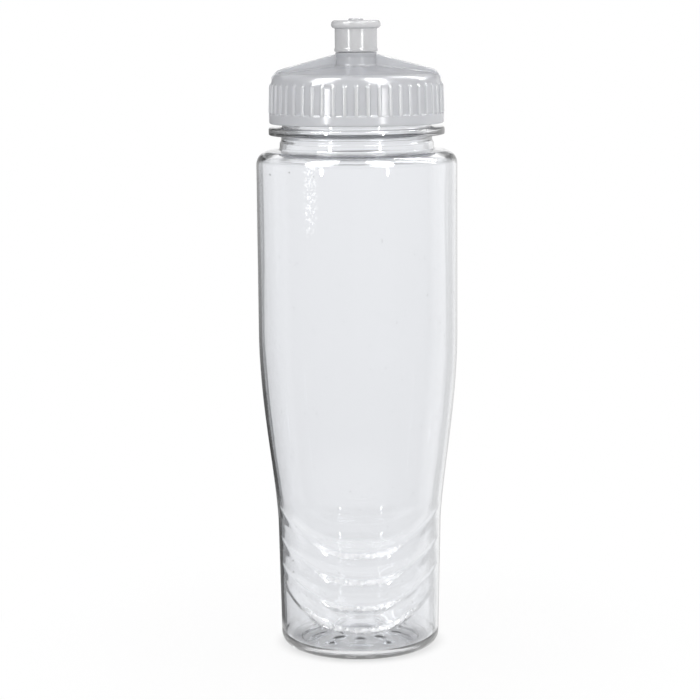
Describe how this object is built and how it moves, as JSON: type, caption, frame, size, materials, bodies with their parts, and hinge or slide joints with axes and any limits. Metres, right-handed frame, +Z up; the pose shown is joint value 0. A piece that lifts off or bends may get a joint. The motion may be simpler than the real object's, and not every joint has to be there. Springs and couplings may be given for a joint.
{
  "type": "sports water bottle",
  "caption": "Clear squeeze-grip sports bottle with a finger-waved waist, a ribbed screw lid with two gusset fins and a push-pull drinking spout.",
  "frame": {"origin": "centre of the standing ring under the base", "axes": "+Z up along the bottle's axis; -Y is the front, the side the finger waves dip on (the back is the same); the lid's fins lie along X"},
  "size_m": [0.0806, 0.0806, 0.2546],
  "materials": {
    "clear_body": "clear glossy PET, slightly scuffed",
    "frosted_lid": "translucent milky polypropylene, satin gloss",
    "gasket": "soft translucent elastomer",
    "frosted_spout": "translucent milky polyethylene, glossy"
  },
  "bodies": {
    "bottle": {"bottle_body": "clear_body"},
    "gasket": {"lid_gasket": "gasket"},
    "lid": {"lid": "frosted_lid"},
    "spout": {"spout": "frosted_spout"}
  },
  "joints": [
    {"name": "lid_lift", "type": "slide", "parent": "bottle", "child": "gasket", "axis": [0, 0, 1], "range_m": [0, 0.0191]},
    {"name": "lid_turn", "type": "hinge", "parent": "gasket", "child": "lid", "pos_m": [0, 0, 0.2213], "axis": [0, 0, 1], "range_deg": [0, 1620]},
    {"name": "spout_pull", "type": "slide", "parent": "lid", "child": "spout", "axis": [0, 0, 1], "range_m": [0, 0.0057]}
  ],
  "couplings": [
    {"joint": "lid_lift", "follows": "lid_turn", "m_per_rad": 0.00067376}
  ]
}
